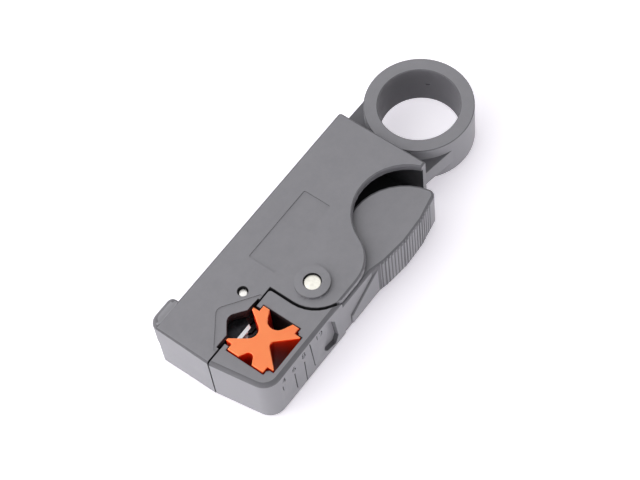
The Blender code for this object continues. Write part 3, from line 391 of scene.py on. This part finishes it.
def buildHandle(cfg):
    # ABS against a spark-eroded tool: an even mid grey, matt, with a grain that shows where light falls low
    look = mouldedAbs("grey_abs_moulded_handle", cfg["tone"], cfg["deep"], cfg["roughness"])
    low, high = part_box("main_body")
    flatTop, endWithin = cfg["flatTopMm"] * mm, cfg["endWithinMm"] * mm
    level, close = 0.01 * mm, 0.1 * mm      # how true a level edge is, and how near counts as there
    ringMiddle = sum(openingBox("finger_ring"), Vector()) / 2
    neck = 2 * ringMiddle.x - high.x        # the ring's near side, where the handle's end wall is

    def onEndRim(edge):
        a, b = (v.co for v in edge.verts)
        atEnd = max(a.x, b.x) < low.x + endWithin
        return atEnd and abs(a.z - b.z) < level and (a.z < close or a.z > flatTop - close)

    bm = cadCopy("main_body")
    softenEdges(bm, cfg["endRimMm"] * mm, cfg["endRimSegments"], cfg["sharpDeg"], onEndRim)
    softenEdges(bm, cfg["edgeMm"] * mm, cfg["segments"], cfg["sharpDeg"])
    barrelBoss(bm, cfg, high.y)
    bm = carve(bm, gateMark(cfg, ringMiddle))
    paintRimShade(bm, cfg["grooveShare"])
    toolTrees["main_body"] = BVHTree.FromBMesh(bm)
    # painted shade: faces deep in the handle's hollows, short of the ring, take the near-black colour
    for face in paintedShadeFaces(bm):
        if face.calc_center_median().x < neck - close:
            face.material_index = 1
    # painted shade: the ring's bore and the web's top take the darker rim colour
    for face in bm.faces:
        at = face.calc_center_median()
        inBore = isWall(face) and (at - ringMiddle).xy.length < cfg["boreReachMm"] * mm
        onWeb = face.normal.z > flatLimit and at.x > neck and at.z < cfg["webTopMm"] * mm
        if inBore or onWeb:
            face.material_index = 2
    darkenWalls(bm, cfg)
    looks = [look, hollowShadePlastic, rimShadePlastic]
    addPiece("handle_moulding", bm, looks, "handle", "main_body")


def darkenWalls(bm, cfg):
    # painted shade: the pivot boss's own wall, and the plates' edges round the lever's room, take the darker
    # rim colour
    pivot = boxMiddle("pivot_rivet")
    inner, outer = (r * mm for r in cfg["pivotBossMm"])
    flatTop = cfg["flatTopMm"] * mm
    roomLow, roomHigh = openingBox("lever_room")
    left, front, back = (r * mm for r in cfg["roomReachMm"])
    for face in bm.faces:
        if not isWall(face) or face.material_index == 1:
            continue
        at = face.calc_center_median()
        onBoss = at.z > flatTop and inner < (at - pivot).xy.length < outer
        nearRoom = roomLow.x - left < at.x < roomHigh.x and roomLow.y - front < at.y < roomHigh.y + back
        if onBoss or (nearRoom and at.z < flatTop - cfg["recessDepthMm"] * mm):
            face.material_index = 2


def barrelBoss(bm, cfg, outermost):
    # the boss on the spine corner falls away from the top face in a round
    rise, drop = cfg["bossRiseMm"] * mm, cfg["bossDropMm"] * mm
    spine = outermost - rise
    beside = 0.01 * mm      # the cuts stand this far off the mesh's own edges
    for i in range(cfg["bossCuts"]):
        at = spine + rise * i / cfg["bossCuts"] + beside
        bmesh.ops.bisect_plane(bm, geom=bm.verts[:] + bm.edges[:] + bm.faces[:], plane_co=(0, at, 0),
                               plane_no=(0, 1, 0), dist=mergeDist)
    for vert in bm.verts:
        out = (vert.co.y - spine) / rise
        if out > 0 and vert.co.z > cfg["bossFromMm"] * mm:
            vert.co.z -= drop * out * out


def gateMark(cfg, ringMiddle):
    # the small sunk scar where the plastic ran into the ring's bore
    wide, deep, tall = (v * mm for v in cfg["gateMarkMm"])
    turn = Matrix.Rotation(math.radians(cfg["gateMarkTurnDeg"]), 4, "Z")
    at = ringMiddle + turn @ Vector((cfg["boreMm"] * mm, 0.0, 0.0))
    height = (cfg["ringTopMm"] - cfg["gateMarkDropMm"]) * mm
    bm = bmesh.new()
    bmesh.ops.create_cube(bm, size=1.0)
    bmesh.ops.scale(bm, vec=(deep, wide, tall), verts=bm.verts)
    bmesh.ops.transform(bm, matrix=turn, verts=bm.verts)
    bmesh.ops.translate(bm, vec=(at.x, at.y, height), verts=bm.verts)
    return bm


leverLook = {"tone": "#87868B", "deep": "#848388", "roughness": 0.43, "grooveShare": 0.2,
             "edgeMm": 0.12, "segments": 2, "sharpDeg": 50,
             "ribReachMm": 26.0, "ribDropMm": 9.0,      # the ribs lie within this of the lever's far corner
             "unshadedFlatsFromMm": 5.5, "skinMm": 3.8}     # flats further from the middle and the outer skin get no painted shade
# plain scale on the jaw's side; places are from the block's middle line and from the back face, in mm
gauge = {"numerals": (("4", -4.7, 13.6), ("6", -0.9, 13.3), ("8", 3.0, 14.0), ("12", 9.1, 14.2)),
         "lines": (((-5.4, 11.7), (-5.3, 9.2)), ((-0.9, 11.0), (-0.8, 3.0)), ((2.9, 11.0), (2.8, 1.0)),
                   ((5.6, 15.6), (6.2, 3.2))),
         "numeralMm": 3.1, "curveSteps": 3, "lineMm": 0.3, "depthMm": 0.4}


def buildLever(cfg, marks):
    # ABS against a finer spark-eroded tool: the same grey, matt, with a trace more sheen on the thumb lobe
    look = mouldedAbs("grey_abs_moulded_lever", cfg["tone"], cfg["deep"], cfg["roughness"])
    low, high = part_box("jaw_lever")
    middle = boxMiddle("jaw_lever")
    ribsFrom, ribsTo = high.x - cfg["ribReachMm"] * mm, low.y + cfg["ribDropMm"] * mm

    def offTheRibs(edge):
        return all(v.co.x < ribsFrom or v.co.y > ribsTo for v in edge.verts)

    bm = cadCopy("jaw_lever")
    softenEdges(bm, cfg["edgeMm"] * mm, cfg["segments"], cfg["sharpDeg"], offTheRibs)
    bm = carve(bm, gaugeCutter(marks, toolTrees["jaw_lever"]))
    paintRimShade(bm, cfg["grooveShare"])
    toolTrees["jaw_lever"] = BVHTree.FromBMesh(bm)
    # painted shade: faces deep in the lever's hollows take the near-black colour
    for face in paintedShadeFaces(bm):
        at = face.calc_center_median()
        onTop = abs(face.normal.z) > flatLimit and abs(at.z - middle.z) > cfg["unshadedFlatsFromMm"] * mm
        if not onTop and at.y > low.y + cfg["skinMm"] * mm:
            face.material_index = 1
    looks = [look, hollowShadePlastic, rimShadePlastic]
    addPiece("lever_moulding", bm, looks, "lever", "jaw_lever")


def gaugeCutter(cfg, tree):
    # the numbers and lines of the scale as one cutter, each set into the jaw's side where it stands
    middle = boxMiddle("v_block")
    depth = cfg["depthMm"] * mm
    outside = 2 * cadBox[0].y       # in front of the jaw's side
    whole = bmesh.new()

    def place(bm, x, z):
        side = tree.ray_cast(Vector((x, outside, z)), Vector((0, 1, 0)))[0]
        bmesh.ops.translate(bm, vec=(x, side.y, z), verts=bm.verts)
        mesh = bpy.data.meshes.new("mark")
        bm.to_mesh(mesh)
        bm.free()
        whole.from_mesh(mesh)

    for body, x, z in cfg["numerals"]:
        place(numeral(body, cfg), middle.x + x * mm, z * mm)
    for (x0, z0), (x1, z1) in cfg["lines"]:
        bm = bmesh.new()
        bmesh.ops.create_cube(bm, size=1.0)
        long = math.hypot(x1 - x0, z1 - z0)
        bmesh.ops.scale(bm, vec=(cfg["lineMm"] * mm, 2 * depth, long * mm), verts=bm.verts)
        lean = Matrix.Rotation(math.atan2(x1 - x0, z1 - z0), 4, "Y")
        bmesh.ops.transform(bm, matrix=lean, verts=bm.verts)
        place(bm, middle.x + (x0 + x1) / 2 * mm, (z0 + z1) / 2 * mm)
    return whole


def numeral(body, cfg):
    # one number as a solid, centred, reading along +X and facing -Y
    curve = bpy.data.curves.new("numeral", "FONT")
    curve.body = body
    curve.size = cfg["numeralMm"] * mm
    curve.extrude = cfg["depthMm"] * mm
    curve.align_x = "CENTER"
    curve.align_y = "CENTER"
    curve.resolution_u = cfg["curveSteps"]
    flat = bpy.data.objects.new("numeral", curve)
    scene.collection.objects.link(flat)
    mesh = bpy.data.meshes.new_from_object(flat.evaluated_get(bpy.context.evaluated_depsgraph_get()))
    bpy.data.objects.remove(flat, do_unlink=True)
    bm = bmesh.new()
    bm.from_mesh(mesh)
    bmesh.ops.remove_doubles(bm, verts=bm.verts, dist=mergeDist)
    bmesh.ops.transform(bm, matrix=Matrix.Rotation(math.radians(90), 4, "X"), verts=bm.verts)
    return bm


buildHandle(handleLook)
buildLever(leverLook, gauge)
print("mouldings made")


# V block

blockLook = {"tone": "#FF8C50", "deep": "#FC8449", "specular": 0.5,
             "wallGlowTone": "#FF3A0E", "wallGlowDeep": "#F42A04", "wallSpecular": 0.15, "smoothDeg": 30.0}


def buildBlock(cfg):
    # polypropylene, moulded: a clear warm orange on the face that the light falls on
    look = mouldedPp("orange_pp_moulded_block", cfg["tone"], cfg["deep"], cfg["specular"])
    # painted light on its walls: a redder copy of the orange with little gloss, standing in for light that
    # went through the orange and comes out redder
    wall = mouldedPp("orange_pp_painted_wall_light", cfg["wallGlowTone"], cfg["wallGlowDeep"], cfg["wallSpecular"])
    bm = cadCopy("v_block")
    # painted light: the walls take the redder copy
    for face in bm.faces:
        face.material_index = 1 if isWall(face) else 0
    addPiece("v_block_moulding", bm, [look, wall], "block", "v_block", cfg["smoothDeg"])


buildBlock(blockLook)
print("V block made")


# Rivet and cross pin

rivetShape = {"tone": "#FFFCF2", "ringMm": 0.09, "headRMm": 2.12, "shankRMm": 1.5, "headMm": 1.0,
              "domeMm": 0.12, "crownShare": 0.45, "crownFall": 0.2, "edgeMm": 0.22, "steps": 72}
pinShape = {"tone": "#FFFDFA", "ringMm": 0.08, "radiusMm": 1.1, "edgeMm": 0.2, "steps": 48}
cornerShare = 0.3       # where the round at an end's edge has its middle point, in widths of that round
turnedSmoothDeg = 35.0


def turnBothEnds(half, node, steps):
    # a closed solid turned about the node's own axis; half is the (radius, height) pairs of its lower half
    low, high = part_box(node)
    middle = (low + high) / 2
    profile = half + [(r, low.z + high.z - z) for r, z in reversed(half)]
    bm = bmesh.new()
    verts = [bm.verts.new((middle.x + r, middle.y, z)) for r, z in profile]
    edges = [bm.edges.new(pair) for pair in zip(verts, verts[1:])]
    bmesh.ops.spin(bm, geom=verts + edges, cent=(middle.x, middle.y, 0.0), axis=(0, 0, 1),
                   angle=2 * math.pi, steps=steps, use_merge=True, use_duplicate=False)
    bmesh.ops.remove_doubles(bm, verts=bm.verts, dist=mergeDist)
    bmesh.ops.recalc_face_normals(bm, faces=bm.faces)
    return bm


def buildRivet(cfg):
    # steel, its head turned: a pale bright disc with faint rings and a soft dome
    look = turnedSteel("pale_steel_turned_rivet", cfg["tone"], boxMiddle("pivot_rivet"), cfg["ringMm"])
    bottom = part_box("pivot_rivet")[0].z
    head, shank, thick = cfg["headRMm"] * mm, cfg["shankRMm"] * mm, cfg["headMm"] * mm
    edge, dome = cfg["edgeMm"] * mm, cfg["domeMm"] * mm
    corner = edge * cornerShare
    half = [(0.0, bottom), (head * cfg["crownShare"], bottom + dome * cfg["crownFall"]),
            (head - edge, bottom + dome), (head - corner, bottom + dome + corner),
            (head, bottom + dome + edge), (head, bottom + thick), (shank, bottom + thick)]
    bm = turnBothEnds(half, "pivot_rivet", cfg["steps"])
    addPiece("rivet_turned", bm, [look], "handle", "pivot_rivet", turnedSmoothDeg)


def buildPin(cfg):
    # steel, cut off and faced on the lathe: a small bright end with faint rings
    look = turnedSteel("pale_steel_turned_pin", cfg["tone"], boxMiddle("blade_pin"), cfg["ringMm"])
    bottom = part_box("blade_pin")[0].z
    radius, edge = cfg["radiusMm"] * mm, cfg["edgeMm"] * mm
    corner = edge * cornerShare
    half = [(0.0, bottom), (radius - edge, bottom), (radius - corner, bottom + corner),
            (radius, bottom + edge)]
    bm = turnBothEnds(half, "blade_pin", cfg["steps"])
    addPiece("cross_pin_turned", bm, [look], "handle", "blade_pin", turnedSmoothDeg)


buildRivet(rivetShape)
buildPin(pinShape)
print("rivet and pin made")


# Blades, screws, spacers, nut plate and spring

# the blade's dark tone is painted shade and painted reflection on its flats
bladeLook = {"tone": "#3C3C40", "deep": "#28282B", "roughness": 0.34, "mottleMm": 1.1,
             "edgeTone": "#E4E5E8", "edgeTilt": (0.05, 0.995), "smoothDeg": 8.0}
screwLook = {"tone": "#2B2B2E", "deep": "#1C1C1E", "roughness": 0.42, "mottleMm": 0.8}
spacerLook = {"tone": "#1B1B1D", "deep": "#141416", "roughness": 0.5, "count": 4,
              "edgeMm": 0.1, "segments": 2, "sharpDeg": 50}
nutLook = {"tone": "#DDB878", "deep": "#C79F5C", "roughness": 0.34, "mottleMm": 1.5}
springLook = {"tone": "#C9CACC", "deep": "#A9AAAD", "roughness": 0.3, "mottleMm": 0.9, "smoothDeg": 60.0}


def buildCutters(blade, screw):
    # tool steel with painted shade: its flats coloured dark for the shade and dark reflections in the notch,
    # with a slight mottle, against which the bright edge stands out
    shadedFlats = skinnedMetal("tool_steel_painted_shade_blade", blade)
    # the same steel, honed to its edge: a bright narrow band with fine lines along the stroke
    honed = groundSteel("tool_steel_honed_edge", blade["edgeTone"])
    # steel, black oxide finish: dull near black with a soft metal sheen
    oxide = skinnedMetal("steel_black_oxide_screw", screw)
    least, most = blade["edgeTilt"]
    for place in ("top", "middle", "bottom"):
        bm = cadCopy("blade_" + place)
        for face in bm.faces:
            face.material_index = 1 if least < abs(face.normal.z) < most else 0
        addPiece("blade_ground_" + place, bm, [shadedFlats, honed], "cutter_" + place,
                 "blade_" + place, blade["smoothDeg"])
        bm = cadCopy("set_screw_" + place)
        addPiece("grub_screw_" + place, bm, [oxide], "screw_" + place, "set_screw_" + place)


def buildSpacers(cfg):
    # acetal, moulded black: smooth and even, so the stack stays quiet behind the blades
    black = mouldedAbs("black_pom_moulded_spacer", cfg["tone"], cfg["deep"], cfg["roughness"])
    for i in range(1, cfg["count"] + 1):
        bm = cadCopy("blade_spacer_%d" % i)
        softenEdges(bm, cfg["edgeMm"] * mm, cfg["segments"], cfg["sharpDeg"])
        addPiece("spacer_moulded_%d" % i, bm, [black], "handle", "blade_spacer_%d" % i)


def buildNutPlate(cfg):
    # brass bar as drawn: warm yellow under a light brown mottle
    brass = skinnedMetal("brass_drawn_nut_plate", cfg)
    addPiece("nut_bar_drawn", cadCopy("nut_plate"), [brass], "handle", "nut_plate")


def buildSpring(cfg):
    # spring steel, drawn hard: pale grey wire with a close sheen along it
    wire = skinnedMetal("spring_steel_drawn_wire", cfg)
    addPiece("spring_wire", cadCopy("return_spring"), [wire], "handle", "return_spring",
             cfg["smoothDeg"])


buildCutters(bladeLook, screwLook)
buildSpacers(spacerLook)
buildNutPlate(nutLook)
buildSpring(springLook)
print("inner pieces made")


# Floor, light and camera

floorLook = {"sizeM": 6.0, "gapMm": 0.05, "tone": "#F4F3F6", "glow": 0.5, "glowTone": "#F3EEF7"}
lightTent = {"darkSide": 0.18, "lightSide": 1.18, "lightFrom": (-0.30, 0.72, 0.62),
             "darkUpTo": 0.05, "lightDownTo": 0.9,      # cosines off lightFrom that the change lies between
             "lowBand": 6.2, "lowBandTop": 0.25}
keyLamp = {"watts": 0.65, "sizeM": 0.45, "at": (-0.30, 0.16, 0.26)}
cameraPlace = {"at": (-0.1709, -0.16055, 0.4081), "azimuthDeg": -45.56, "elevationDeg": 59.97,
               "rollDeg": -8.71, "lensMm": 105.7, "sensorMm": 36.0, "clipStartM": 0.01}


def seenDirectly(tree):
    # 1 for the rays that show the background: to the camera, in a gloss, or through something clear
    path = addNode(tree, "ShaderNodeLightPath")
    seen = addNode(tree, "ShaderNodeMath", {"operation": "MAXIMUM"},
                   {0: path.outputs["Is Camera Ray"], 1: path.outputs["Is Glossy Ray"]})
    return addNode(tree, "ShaderNodeMath", {"operation": "MAXIMUM"},
                   {0: seen.outputs["Value"], 1: path.outputs["Is Transmission Ray"]}).outputs["Value"]


def buildFloor(cfg):
    # white paper, matt: what looks at it sees it whiter than it is lit, and the tool's shadow stays on it
    made, tree, surface, _ = newMaterial("studio_paper_floor", {
        "Base Color": hexColor(cfg["tone"]), "Roughness": 0.9, "Specular IOR Level": 0.1})
    out = surface.outputs["BSDF"].links[0].to_node
    level = addNode(tree, "ShaderNodeMath", {"operation": "MULTIPLY", 1: cfg["glow"]},
                    {0: seenDirectly(tree)})
    glow = addNode(tree, "ShaderNodeEmission", {"Color": hexColor(cfg["glowTone"])},
                   {"Strength": level.outputs["Value"]})
    both = addNode(tree, "ShaderNodeAddShader",
                   links={0: surface.outputs["BSDF"], 1: glow.outputs["Emission"]})
    tree.links.new(both.outputs["Shader"], out.inputs["Surface"])
    bm = bmesh.new()
    bmesh.ops.create_grid(bm, x_segments=1, y_segments=1, size=cfg["sizeM"] / 2)
    mesh = bpy.data.meshes.new("studio_floor")
    bm.to_mesh(mesh)
    bm.free()
    mesh.materials.append(made)
    floor = bpy.data.objects.new("studio_floor", mesh)
    floor.location.z = cadBox[0].z - cfg["gapMm"] * mm
    scene.collection.objects.link(floor)


def buildTent(cfg):
    # a light tent: bright overhead behind the tool, bright low walls all round, dim above the camera
    world = bpy.data.worlds.new("studio_world")
    scene.world = world
    world.use_nodes = True
    tree = world.node_tree
    tree.nodes.clear()
    way = addNode(tree, "ShaderNodeTexCoord").outputs["Generated"]
    lightWay = tuple(Vector(cfg["lightFrom"]).normalized())
    towards = addNode(tree, "ShaderNodeVectorMath", {"operation": "DOT_PRODUCT", 1: lightWay}, {0: way})
    side = addNode(tree, "ShaderNodeMapRange", {
        "interpolation_type": "SMOOTHSTEP", "From Min": cfg["darkUpTo"], "From Max": cfg["lightDownTo"],
        "To Min": cfg["darkSide"], "To Max": cfg["lightSide"]}, {"Value": towards.outputs["Value"]})
    height = addNode(tree, "ShaderNodeSeparateXYZ", links={"Vector": way}).outputs["Z"]
    walls = addNode(tree, "ShaderNodeMapRange", {
        "interpolation_type": "SMOOTHSTEP", "From Min": cfg["lowBandTop"], "From Max": 0.0, "To Min": 0.0,
        "To Max": cfg["lowBand"]}, {"Value": height})
    tent = addNode(tree, "ShaderNodeMath", {"operation": "ADD"},
                   {0: side.outputs["Result"], 1: walls.outputs["Result"]})
    level = addNode(tree, "ShaderNodeMix", {"data_type": "FLOAT", 3: 1.0},
                    {0: seenDirectly(tree), 2: tent.outputs["Value"]})
    sky = addNode(tree, "ShaderNodeBackground", {"Color": white}, {"Strength": level.outputs[0]})
    addNode(tree, "ShaderNodeOutputWorld", links={"Surface": sky.outputs["Background"]})


def buildKey(cfg):
    lamp = bpy.data.lights.new("key_softbox", "AREA")
    lamp.energy = cfg["watts"]
    lamp.size = cfg["sizeM"]
    key = bpy.data.objects.new("key_softbox", lamp)
    key.location = cfg["at"]
    key.rotation_euler = (-Vector(cfg["at"])).to_track_quat("-Z", "Y").to_euler()
    scene.collection.objects.link(key)


def buildCamera(cfg):
    lens = bpy.data.cameras.new("camera")
    lens.lens = cfg["lensMm"]
    lens.sensor_width = cfg["sensorMm"]
    lens.clip_start = cfg["clipStartM"]
    camera = bpy.data.objects.new("camera", lens)
    turn = Matrix.Rotation(math.radians(cfg["azimuthDeg"]), 4, "Z")
    tilt = Matrix.Rotation(math.radians(90 - cfg["elevationDeg"]), 4, "X")
    roll = Matrix.Rotation(math.radians(cfg["rollDeg"]), 4, "Z")
    camera.matrix_world = Matrix.Translation(cfg["at"]) @ turn @ tilt @ roll
    scene.collection.objects.link(camera)
    scene.camera = camera


buildFloor(floorLook)
buildTent(lightTent)
buildKey(keyLamp)
buildCamera(cameraPlace)
scene.view_settings.view_transform = "Standard"
print("floor, light and camera made")
